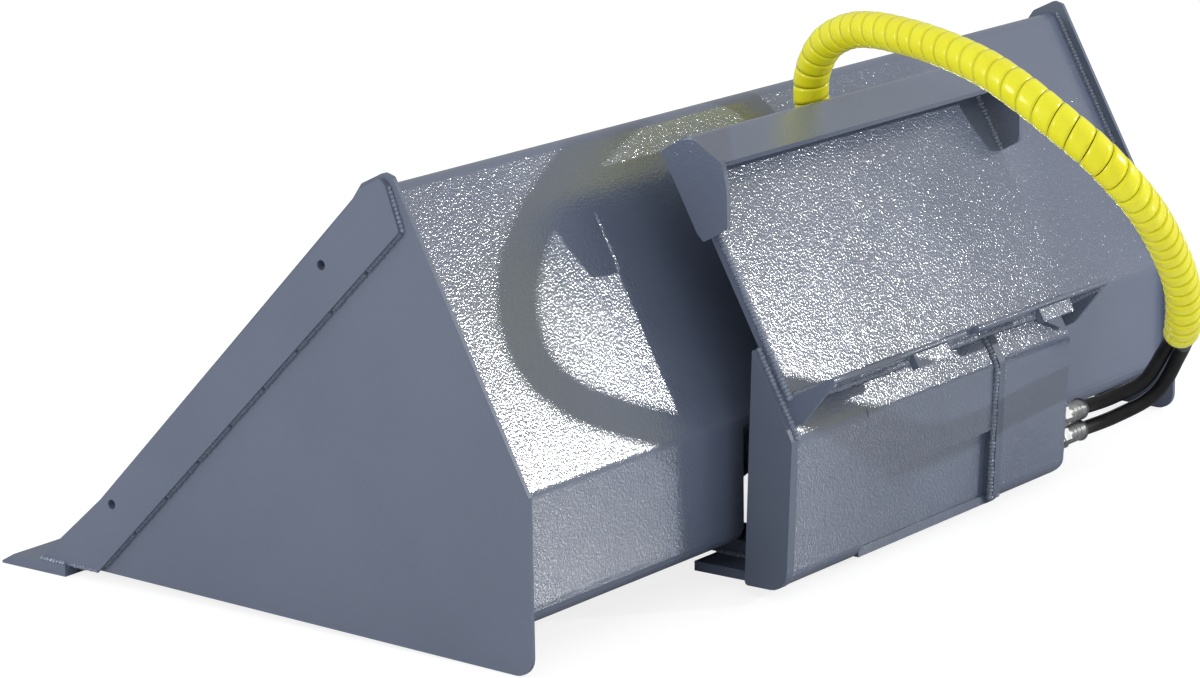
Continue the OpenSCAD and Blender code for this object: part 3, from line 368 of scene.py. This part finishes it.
# %% Metals
def metal(name, light, dark, rough, grain=60):
    material, g = finish_graph(name)
    stain = g.add("ShaderNodeTexNoise", None, {"Vector": g.place, "Scale": grain, "Detail": 4})["Fac"]
    fine = g.add("ShaderNodeTexNoise", None, {"Vector": g.place, "Scale": grain * 20, "Detail": 2})["Fac"]
    normal = g.add("ShaderNodeBump", None, {"Strength": 0.4, "Distance": 0.00005, "Height": fine})["Normal"]
    surface(g, {"Base Color": g.mix(stain.between(0.4, 0.7), light, dark), "Metallic": 1.0,
                "Roughness": rough + stain * 0.15, "Normal": normal})
    return material


zinc = metal("zinc_plate", (0.58, 0.59, 0.58), (0.40, 0.41, 0.40), 0.28)
chrome = metal("hard_chrome", (0.82, 0.83, 0.85), (0.76, 0.77, 0.79), 0.05, grain=25)
turned_steel = metal("turned_steel", (0.46, 0.47, 0.49), (0.36, 0.37, 0.38), 0.30)
bronze = metal("bush_bronze", (0.56, 0.40, 0.17), (0.42, 0.28, 0.11), 0.32)

# %% [markdown]
# The hose's outer layer is smooth black rubber with faint marks of the cloth that wrapped it while it cured.
# The guard is thick glossy plastic in a strong yellow, whose tone drifts a little in slow swirls.

# %% Rubber and plastic
def rubber_finish():
    material, g = finish_graph("hose_rubber")
    cloth = g.add("ShaderNodeTexNoise", None, {"Vector": g.place, "Scale": 900, "Detail": 2})["Fac"]
    dust = g.add("ShaderNodeTexNoise", None, {"Vector": g.place, "Scale": 40, "Detail": 3})["Fac"]
    normal = g.add("ShaderNodeBump", None, {"Strength": 0.5, "Distance": 0.0001, "Height": cloth})["Normal"]
    surface(g, {"Base Color": g.mix(dust.between(0.45, 0.75), (0.010, 0.010, 0.011), (0.022, 0.022, 0.024)),
                "Roughness": 0.30 + dust * 0.2, "Normal": normal})
    return material


def guard_finish():
    material, g = finish_graph("guard_plastic")
    swirl = g.add("ShaderNodeTexNoise", None, {"Vector": g.place, "Scale": 22, "Detail": 2})["Fac"]
    ripple = g.add("ShaderNodeTexNoise", None, {"Vector": g.place, "Scale": 150, "Detail": 1})["Fac"]
    normal = g.add("ShaderNodeBump", None, {"Strength": 0.3, "Distance": 0.0003, "Height": ripple})["Normal"]
    yellow = g.mix(swirl.between(0.3, 0.7), (0.96, 0.90, 0.012), (0.98, 0.95, 0.020))
    surface(g, {"Base Color": yellow, "Roughness": 0.22 + swirl * 0.08,
                "Coat Weight": 0.4, "Coat Roughness": 0.08, "Normal": normal})
    return material


rubber = rubber_finish()
guard_plastic = guard_finish()

# %% [markdown]
# The CAD pieces keep their meshes. Each one gets the finish that its own material has on the real bucket.
# The side plates, the cutters and the frame's side plate and ribs look smoother and duller than the folded
# sheets, so they wear their own paint.

# %% Dress the CAD pieces
FINISH = {"paint": coat, "zinc": zinc, "chrome": chrome, "steel": turned_steel, "bronze": bronze,
          "rubber": rubber, "guard": guard_plastic}
SMOOTH_PLATES = ("side_plate", "side_cutter", "frame_side", "frame_rib", "cutting_edge")
slot_of = {entry["node"]: entry["material_slot"] for entry in frame["record"]["subparts"]}
for name, piece in cad.items():
    finish = FINISH[slot_of[name]]
    if name.startswith(SMOOTH_PLATES):
        finish = side_coat
    piece.data.materials.clear()
    piece.data.materials.append(finish)
print("dressed:", len(cad))

# %% [markdown]
# Weld beads hold the plates together and show as rippled lines. Each ripple is where the pool of metal froze
# for a moment, so a bead is a row of small overlapping drops. Geometry Nodes place one drop at every step
# along a line, which keeps hundreds of them even and lets one number change them all.

# %% A tree for weld beads
def node_group(name, sizes):
    tree = bpy.data.node_groups.new(name, "GeometryNodeTree")
    tree.interface.new_socket("Geometry", in_out="INPUT", socket_type="NodeSocketGeometry")
    for size, value in sizes.items():
        kind = "NodeSocketMaterial" if size == "Finish" else "NodeSocketFloat"
        socket = tree.interface.new_socket(size, in_out="INPUT", socket_type=kind)
        if value is not None:
            socket.default_value = value
    tree.interface.new_socket("Geometry", in_out="OUTPUT", socket_type="NodeSocketGeometry")
    graph = Graph(tree)
    graph.inputs = graph.add("NodeGroupInput")
    return tree, graph


def end_tree(graph, geometry):
    real = graph.add("GeometryNodeRealizeInstances", None, {0: geometry})[0]
    painted = graph.add("GeometryNodeSetMaterial", None,
                        {"Geometry": real, "Material": graph.inputs["Finish"]})[0]
    graph.add("NodeGroupOutput", None, {0: painted})


bead_tree, g = node_group("weld_bead", {"Radius": 0.0035, "Step": 0.004, "Flatness": 0.8, "Finish": None})
line = g.add("GeometryNodeMeshToCurve", None, {0: g.inputs["Geometry"]})[0]
drops = g.add("GeometryNodeCurveToPoints", {"mode": "LENGTH"}, {"Curve": line, "Length": g.inputs["Step"]})
drop = g.add("GeometryNodeMeshIcoSphere", None, {"Radius": 1.0, "Subdivisions": 2})[0]
wobble = g.add("FunctionNodeRandomValue", {"data_type": "FLOAT"}, {2: 0.82, 3: 1.15, "Seed": 7})[1]
scale = g.add("ShaderNodeCombineXYZ", None, {0: g.inputs["Radius"] * wobble, 1: g.inputs["Radius"] * wobble,
                                             2: g.inputs["Radius"] * g.inputs["Flatness"]})[0]
row = g.add("GeometryNodeInstanceOnPoints", None, {"Points": drops["Points"], "Instance": drop,
                                                   "Rotation": drops["Rotation"], "Scale": scale})[0]
shaded = g.add("GeometryNodeSetShadeSmooth", None, {0: row})[0]
end_tree(g, shaded)
print("weld tree nodes:", len(bead_tree.nodes))


# %% [markdown]
# A tree's result is turned into a plain mesh before it is fixed to its body, because the exported model keeps
# meshes and not modifiers. Inputs are set by their hidden identifiers, as Blender asks.

# %% Run a tree on lines
def lines_object(name, lines):
    verts, edges = [], []
    for points in lines:
        start = len(verts)
        verts += points
        edges += [(start + i, start + i + 1) for i in range(len(points) - 1)]
    mesh = bpy.data.meshes.new(name)
    mesh.from_pydata(verts, edges, [])
    return new_object(name, mesh)


def run_tree(carrier, tree, values):
    modifier = carrier.modifiers.new(tree.name, "NODES")
    modifier.node_group = tree
    for item in tree.interface.items_tree:
        if item.in_out == "INPUT" and item.name in values:
            modifier[item.identifier] = values[item.name]
    shape = bpy.data.meshes.new_from_object(carrier.evaluated_get(bpy.context.evaluated_depsgraph_get()))
    carrier.modifiers.remove(modifier)
    name, old = carrier.name, carrier.data
    carrier.data = shape
    bpy.data.meshes.remove(old)
    shape.name = name
    smooth(shape)
    return carrier


# %% [markdown]
# The welder's plan for the bucket: beads in each outer corner between the back and the side plates,
# stitches along the seam of each side cutter, and a bead at each foot, where the cutter meets the cutting
# edge. The corner beads lie outside the slanted back, and the stitches stop short so that gaps show. More
# beads hold the frame's pocket and the cylinder's tunnel, the cutting edge and the pivot lugs.

# %% Beads of the bucket
def dashes(a, b, count, gap_share=0.14):
    """Straight stitches from a to b with small gaps."""
    out = []
    for i in range(count):
        s, e = (i + gap_share / 2) / count, (i + 1 - gap_share / 2) / count
        out.append([a.lerp(b, s), a.lerp(b, e)])
    return out


WALL_X = 595  # inner face of a side plate
PLATE_X = 600.5  # just outside a side plate
FLOOR_Z = 44.5  # just above the bucket's floor
EDGE_Z = 12.5  # just above the cutting edge
POCKET_X, TUNNEL_X = 242, 70.5  # half widths of the frame's pocket and the cylinder's tunnel
PIVOT_LUG_X = (-226.4, -153.6, 153.6, 226.4)
LUG_HALF = 6.2
STITCHES = 9

bucket_lines, stitch_lines = [], []
for s in (-1, 1):
    wall, plate = s * WALL_X, s * PLATE_X
    bucket_lines += [
        [at(wall, 11.5, 66), at(wall, 11.5, 172), at(wall, 86, 310), at(wall, 160, 448)],
        [at(wall, 16.5, 70), at(wall, 17, 172), at(wall, 92, 310), at(wall, 165, 444)],
        [at(wall, 66, FLOOR_Z), at(wall, 300, FLOOR_Z), at(wall, 522, FLOOR_Z), at(wall, 590, 16)],
        [at(plate, 158, 449), at(plate, 143, 411)],
        [at(s * 603, 556, EDGE_Z), at(s * 603, 628, EDGE_Z)],
        [at(s * 606, 600, EDGE_Z), at(s * 606, 630, EDGE_Z)]]
    stitch_lines += dashes(at(plate, 143, 410), at(plate, 548, 16.5), STITCHES)
for s in (-1, 1):
    bucket_lines += [
        [at(s * POCKET_X, 148, 45), at(s * POCKET_X, 20, 160)],
        [at(s * TUNNEL_X, 160, FLOOR_Z), at(s * TUNNEL_X, 462, FLOOR_Z)],
        [at(s * 247, 40, FLOOR_Z), at(s * 247, 150, FLOOR_Z)]]
bucket_lines += [[at(-240, 153, 45), at(-72, 153, 45)], [at(72, 153, 45), at(240, 153, 45)],
                 [at(-590, 594.5, 11.5), at(590, 594.5, 11.5)]]
for x in PIVOT_LUG_X:
    for e in (-LUG_HALF, LUG_HALF):
        bucket_lines.append([at(x + e, 482, 39.8), at(x + e, 520, 39.8)])
bucket_beads = run_tree(lines_object("bucket_beads", bucket_lines), bead_tree,
                        {"Radius": 0.0034, "Step": 0.0040, "Flatness": 0.85, "Finish": bead_coat})
bucket_stitches = run_tree(lines_object("cutter_stitches", stitch_lines), bead_tree,
                           {"Radius": 0.0036, "Step": 0.0034, "Flatness": 0.9, "Finish": side_coat})
print("bucket bead faces:", len(bucket_beads.data.polygons), len(bucket_stitches.data.polygons))

# %% [markdown]
# The hitch frame is welded from thicker plate. Its strongest bead runs up the left end, where the leaning
# attach plate lies on the side plate. The plate's own slope gives handy coordinates: a length along it, and
# a height square to it towards the loader.

# %% Beads of the hitch frame
LEAN = math.radians(61.4)
PLATE_FOOT_Y, PLATE_FOOT_Z = -55, 205
COVER_BEND = -38  # along the plate, where the covers turn up under it
ARM_X, ARM_HALF = 190, 28  # the two arms that reach under the bucket


def on_plate(x, along, out):
    return at(x, PLATE_FOOT_Y + along * math.cos(LEAN) - out * math.sin(LEAN),
              PLATE_FOOT_Z + along * math.sin(LEAN) + out * math.cos(LEAN))


def rib_bead(x, foot_z):
    """Beside a rib, up the covers and on under the attach plate."""
    return [at(x, -54, foot_z), at(x, -58, 100), at(x, -62, 158),
            on_plate(x, COVER_BEND, -14.5), on_plate(x, -9, -14.5)]


frame_lines = [
    [on_plate(-259, COVER_BEND, -9.5), on_plate(-259, 55, -9.5)],
    [on_plate(-257.5, 0, 0.3), on_plate(-257.5, 172, 0.3)],
    [on_plate(-250, 1, 0.5), on_plate(-190, 1, 0.5)], [on_plate(-120, 1, 0.5), on_plate(-60, 1, 0.5)],
    [on_plate(30, 1, 0.5), on_plate(90, 1, 0.5)], [on_plate(180, 1, 0.5), on_plate(255, 1, 0.5)],
    [on_plate(-250, -6.5, 1), on_plate(250, -6.5, 1)],
    [on_plate(-251, -6, 6), on_plate(-251, -6, 50)], [on_plate(253, -6, 6), on_plate(253, -6, 50)],
    [on_plate(-270, 176, -1), on_plate(-270, 262, -1)], [on_plate(262, 176, 0.3), on_plate(262, 264, 0.3)],
    [on_plate(-269.5, 266, 2), on_plate(-269.5, 266, 24), on_plate(-269.5, 232, 46)],
    [on_plate(261.5, 266, 2), on_plate(261.5, 266, 24), on_plate(261.5, 232, 46)],
    [on_plate(-262, 265.5, 0.5), on_plate(260, 265.5, 0.5)],
]
for x in (112, 124):
    frame_lines += [rib_bead(x, 18), [at(x, -9, 21), at(x, -30, 21)]]
frame_lines.append(rib_bead(-258, 22))
for x0, x1 in ((-120, -58), (118, 178)):
    frame_lines.append([on_plate(x0 + 2, -6.2, 50), on_plate(x1 - 2, -6.2, 50)])
for s in (-1, 1):
    for e in (-ARM_HALF, ARM_HALF):
        frame_lines.append([at(s * ARM_X + e, -12, 20), at(s * ARM_X + e, 60, 20)])
    frame_lines += [[at(s * 162, 421, 20.5), at(s * 162, 459, 20.5)],
                    [at(s * 162, 421, 35.5), at(s * 162, 459, 35.5)],
                    [at(s * ARM_X - 26, 491.5, 35), at(s * ARM_X + 26, 491.5, 35)]]
    for e in (22.6, 34.2):
        frame_lines.append([at(s * e, -40, 20.2), at(s * e, 2, 20.2)])
frame_lines.append([at(262, -48, 20.2), at(262, -14, 20.2)])
frame_beads = run_tree(lines_object("frame_beads", frame_lines), bead_tree,
                       {"Radius": 0.0040, "Step": 0.0040, "Flatness": 0.8, "Finish": bead_coat})
print("frame bead faces:", len(frame_beads.data.polygons))

# %% [markdown]
# The guard is a flat strip of plastic wound round both hoses. Its turns lie side by side with a thin slit
# between them, and one edge of each turn sits a little lower. Here a grid becomes the strip: one direction
# of the grid runs along the helix and the other across the band, and each point is moved to its place round
# the route's curve. The strip then gets its wall.

# %% A tree for the spiral guard
GUARD = {"Radius": 0.019, "Pitch": 0.020, "Slit": 0.0013, "Wall": 0.002, "Lift": 0.0005}
EDGE_ROUND = 0.0005
POINTS_ALONG, POINTS_ACROSS = 1441, 6
CENTRE_STEPS = 12

guard_tree, g = node_group("spiral_guard", {**GUARD, "Finish": None})
centre = g.add("GeometryNodeMeshToCurve", None, {0: g.inputs["Geometry"]})[0]
span = g.add("GeometryNodeCurveLength", None, {0: centre})[0]
turns = (span / g.inputs["Pitch"]).floor()
grid = g.add("GeometryNodeMeshGrid", None,
             {"Size X": 1.0, "Size Y": 1.0, "Vertices X": POINTS_ALONG, "Vertices Y": POINTS_ACROSS})[0]
place = g.add("ShaderNodeSeparateXYZ", None, {0: g.add("GeometryNodeInputPosition")[0]})
round_share, across_share = place[0] + 0.5, place[1] + 0.5
band = span / turns - g.inputs["Slit"]
spot = g.add("GeometryNodeSampleCurve", {"mode": "LENGTH"},
             {"Curves": centre, "Length": round_share * (span - band) + across_share * band})
angle = round_share * turns * math.tau
side = g.add("ShaderNodeVectorMath", {"operation": "CROSS_PRODUCT"},
             {0: spot["Tangent"], 1: spot["Normal"]})[0]
crown = (across_share - 0.5) * (across_share - 0.5) * 4
reach = g.inputs["Radius"] - g.inputs["Lift"] * (1 - across_share) - crown ** 4 * EDGE_ROUND
cos_part = g.add("ShaderNodeVectorMath", {"operation": "SCALE"},
                 {0: spot["Normal"], "Scale": reach * angle.math("COSINE", angle)})[0]
sin_part = g.add("ShaderNodeVectorMath", {"operation": "SCALE"},
                 {0: side, "Scale": reach * angle.math("SINE", angle)})[0]
radial = g.add("ShaderNodeVectorMath", {"operation": "ADD"}, {0: cos_part, 1: sin_part})[0]
spot_out = g.add("ShaderNodeVectorMath", {"operation": "ADD"}, {0: spot["Position"], 1: radial})[0]
strip = g.add("GeometryNodeSetPosition", None, {"Geometry": grid, "Position": spot_out})[0]
thick = g.add("GeometryNodeExtrudeMesh", {"mode": "FACES"},
              {"Mesh": strip, "Offset Scale": g.inputs["Wall"] * -1, "Individual": False})[0]
closed = g.add("GeometryNodeJoinGeometry")
for part in (strip, thick):
    guard_tree.links.new(part.socket, closed.node.inputs[0])
end_tree(g, g.add("GeometryNodeMergeByDistance", None, {0: closed[0], "Distance": 0.00001})[0])

centre_points = [on_route(FIRST_TURN + i / CENTRE_STEPS)
                 for i in range((LAST_TURN - FIRST_TURN) * CENTRE_STEPS + 1)]
guard = run_tree(lines_object("spiral_guard", [centre_points]), guard_tree,
                 {**GUARD, "Finish": guard_plastic})
tidy_normals(guard)
print("guard faces:", len(guard.data.polygons))

# %% [markdown]
# A flat-faced coupler closes each hose and plugs into the loader's lines. All its parts are turned on a
# lathe, so one outline of radius against length, in millimetres, is spun round the hose's end: crimped
# ferrule, hexagon, body, knurled sleeve. The outline is a list, so that every groove can be read and moved.
# The same crimped part, with a thin collar, closes the other end of the hose at the fittings.

# %% Couplers
KNURL_DEPTH = 0.45
HEXAGON_SPAN, KNURL_SPAN = (34.005, 50.005), (64.005, 80.005)


def turned(name, start, ahead, outline, sides=48, hexagon=(), knurl=()):
    """Spins (length, radius) pairs; the spans in hexagon are six-sided, and those in knurl are ribbed."""
    u = ahead.cross(ACROSS).normalized()
    w = ahead.cross(u)
    verts, faces = [start.copy()], []
    for length, radius in outline:
        for k in range(sides):
            a = 2 * math.pi * k / sides
            r = radius
            if any(lo <= length <= hi for lo, hi in hexagon):
                r = radius * math.cos(math.pi / 6) / math.cos((a % (math.pi / 3)) - math.pi / 6)
            if any(lo <= length <= hi for lo, hi in knurl):
                r = radius - (KNURL_DEPTH if k % 2 else 0)
            verts.append(start + ahead * length * MM + (math.cos(a) * u + math.sin(a) * w) * r * MM)
    for i in range(len(outline) - 1):
        for k in range(sides):
            a, b = 1 + i * sides + k, 1 + i * sides + (k + 1) % sides
            faces.append((a, b, b + sides, a + sides))
    end = 1 + (len(outline) - 1) * sides
    verts.append(start + ahead * outline[-1][0] * MM)
    faces += [(0, 1 + (k + 1) % sides, 1 + k) for k in range(sides)]
    faces += [(end + k, end + (k + 1) % sides, len(verts) - 1) for k in range(sides)]
    mesh = bpy.data.meshes.new(name)
    mesh.from_pydata(verts, [], faces)
    piece = new_object(name, mesh)
    tidy_normals(piece)
    bevel = piece.modifiers.new("edges", "BEVEL")
    bevel.width, bevel.segments = 0.0003, 2
    bevel.limit_method, bevel.angle_limit = "ANGLE", math.radians(35)
    return piece


CRIMPED = [(0, 9.4), (0.6, 10.3), (3, 10.5), (4, 9.9), (7, 9.9), (8, 10.5), (11, 10.5), (12, 9.9), (15, 9.9),
           (16, 10.5), (19, 10.5), (20, 9.9), (23, 9.9), (24, 10.5), (33.5, 10.5)]
HEXAGON = [(34, 11.6), (34.01, 12.4), (50, 12.4), (50.01, 12)]
BODY = [(50.5, 13.2), (51, 14), (57.5, 14), (58, 15.4), (58.8, 16), (61, 16), (61.6, 15.3), (63.4, 15.3)]
SLEEVE = [(64, 16), (64.01, 16), (80, 16), (80.01, 16), (82.6, 16), (83.4, 15.4), (84, 14)]
NOSE = [(96.8, 14), (98, 13), (98, 10.6), (89, 10.4), (88, 9.4)]
COUPLER = CRIMPED + HEXAGON + BODY + SLEEVE + NOSE
CRIMP = CRIMPED + HEXAGON[:2] + [(33.5, 10.5), (34, 9.9), (34.01, 8)]
couplers, ferrules = {}, {}
for name, (piece, path) in hoses.items():
    ferrules[name] = turned("ferrule_" + name, path[0], Vector((1, 0, 0)), CRIMP)
    ferrules[name].data.materials.append(zinc)
    ahead = (ROUTE[-1] - ROUTE[-2]).normalized()
    couplers[name] = turned("coupler_" + name, path[-1], ahead, COUPLER,
                            hexagon=[HEXAGON_SPAN], knurl=[KNURL_SPAN])
    couplers[name].data.materials.append(zinc)
print("couplers:", len(couplers))

# %% [markdown]
# Each hose, coupler, ferrule and bead row is fixed to its body, and the CAD pieces they stand for are hidden.

# %% Join pieces to bodies
for name, (piece, path) in hoses.items():
    piece.data.materials.append(rubber)
    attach(piece, "frame")
    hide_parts(name)
    helpers = [couplers[name], ferrules[name]] + ([guard] if name == "hose_high" else [])
    round(length_of(path), 3)
for node, ends in (("hose_couplers", couplers), ("hose_ferrules", ferrules)):
    for end in ends.values():
        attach(end, "frame")
        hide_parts(node)
for name, piece in inner_hoses.items():
    piece.data.materials.append(rubber)
    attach(piece, "frame")
    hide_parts(name)
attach(guard, "frame")
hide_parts("hose_guard")
for piece, body in ((bucket_beads, "bucket"), (bucket_stitches, "bucket"), (frame_beads, "frame")):
    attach(piece, body)

# %% [markdown]
# The bucket stands on a white studio floor. A small lamp, high behind and to the right, throws the arch's
# shadow across the back and lights the glitter. A broad soft lamp fills from the left front. The camera
# sees the world and the floor as plain white, while the floor still takes a faint shadow. Mirror rays see
# both dimmer, as in a dark studio, so that the paint isn't washed out.

# %% Floor and lights
FLOOR_HALF, FLOOR_DOWN = 30, 0.0005
FLOOR_GLOW, FLOOR_GLOW_SHARE = 1.37, 0.6
WORLD, WORLD_SEEN_MORE, WORLD_MIRRORED_LESS = 0.80, 0.20, 0.36


def studio_white():
    material, g = finish_graph("studio_floor")
    white = g.add("ShaderNodeEmission", None, {"Color": (1, 1, 1, 1), "Strength": FLOOR_GLOW})[0]
    ray = g.add("ShaderNodeLightPath")
    sheet = g.mix(ray["Is Glossy Ray"], (0.92, 0.92, 0.93), (0.36, 0.37, 0.40))
    lit = g.add("ShaderNodeBsdfPrincipled", None, {"Base Color": sheet, "Roughness": 0.25})["BSDF"]
    mixed = g.add("ShaderNodeMixShader", None,
                  {0: ray["Is Camera Ray"] * FLOOR_GLOW_SHARE, 1: lit, 2: white})[0]
    g.add("ShaderNodeOutputMaterial", None, {"Surface": mixed})
    return material


floor_mesh = bpy.data.meshes.new("floor")
floor_mesh.from_pydata([(x * FLOOR_HALF, y * FLOOR_HALF, -FLOOR_DOWN)
                        for x, y in ((-1, -1), (1, -1), (1, 1), (-1, 1))], [], [(0, 1, 2, 3)])
floor = new_object("floor", floor_mesh)
floor.data.materials.append(studio_white())


def lamp(name, power, size, place, aim):
    """A round lamp: power in watts, size and places in metres."""
    light = bpy.data.lights.new(name, "AREA")
    light.energy = power
    light.shape, light.size = "DISK", size
    holder = bpy.data.objects.new(name, light)
    bpy.context.scene.collection.objects.link(holder)
    holder.location = place
    holder.rotation_euler = (Vector(aim) - Vector(place)).to_track_quat("-Z", "Y").to_euler()


lamp("key", 52, 0.08, at(2486, -2594, 1546), (-0.1, -0.2, 0.25))
lamp("left_front", 31, 1.4, (-3.2, 1.4, 1.3), (-0.4, 0, 0.2))

world = bpy.data.worlds.new("studio")
bpy.context.scene.world = world
world.use_nodes = True
world.node_tree.nodes.clear()
w = Graph(world.node_tree)
ray = w.add("ShaderNodeLightPath")
seen = ray["Is Camera Ray"].math("MAXIMUM", ray["Is Camera Ray"], ray["Is Transmission Ray"])
strength = WORLD + seen * WORLD_SEEN_MORE - ray["Is Glossy Ray"] * WORLD_MIRRORED_LESS
glow = w.add("ShaderNodeBackground", None, {"Color": (1, 1, 1, 1), "Strength": strength})[0]
w.add("ShaderNodeOutputWorld", None, {"Surface": glow})
bpy.context.scene.view_settings.view_transform = "Standard"
